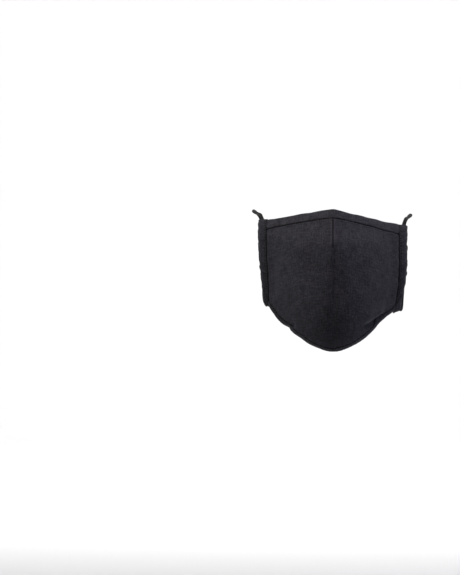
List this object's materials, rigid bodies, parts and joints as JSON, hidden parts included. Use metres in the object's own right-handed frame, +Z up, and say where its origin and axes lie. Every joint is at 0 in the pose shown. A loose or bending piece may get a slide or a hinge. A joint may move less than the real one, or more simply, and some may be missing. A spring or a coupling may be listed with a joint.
{
  "type": "cloth face mask",
  "caption": "Black cotton face mask in its worn form: tented cup with a nose dart, stitched hems, side casings, and ear elastics with ribbed cord locks.",
  "frame": {"origin": "bridge of the nose: middle of the top edge, on the inner face of the cloth, where the mask sits on the face", "axes": "+Z up the face, -Y forward out of the face, +X towards the wearer's left ear"},
  "size_m": [0.1641, 0.1912, 0.1439],
  "materials": {
    "cup_cotton": "matte plain weave",
    "hem_cotton": "matte plain weave, folded and stitched",
    "casing_cotton": "matte plain weave, puckered",
    "elastic_cord": "braided elastic",
    "lock_rubber": "matte, ribbed"
  },
  "bodies": {
    "root": {"cloth_panel": "cup_cotton", "top_hem": "hem_cotton", "bottom_hem": "hem_cotton", "side_casing_right": "casing_cotton", "side_casing_left": "casing_cotton", "ear_elastic_right": "elastic_cord", "ear_elastic_left": "elastic_cord", "cord_lock_right": "lock_rubber", "cord_lock_left": "lock_rubber"}
  },
  "joints": []
}
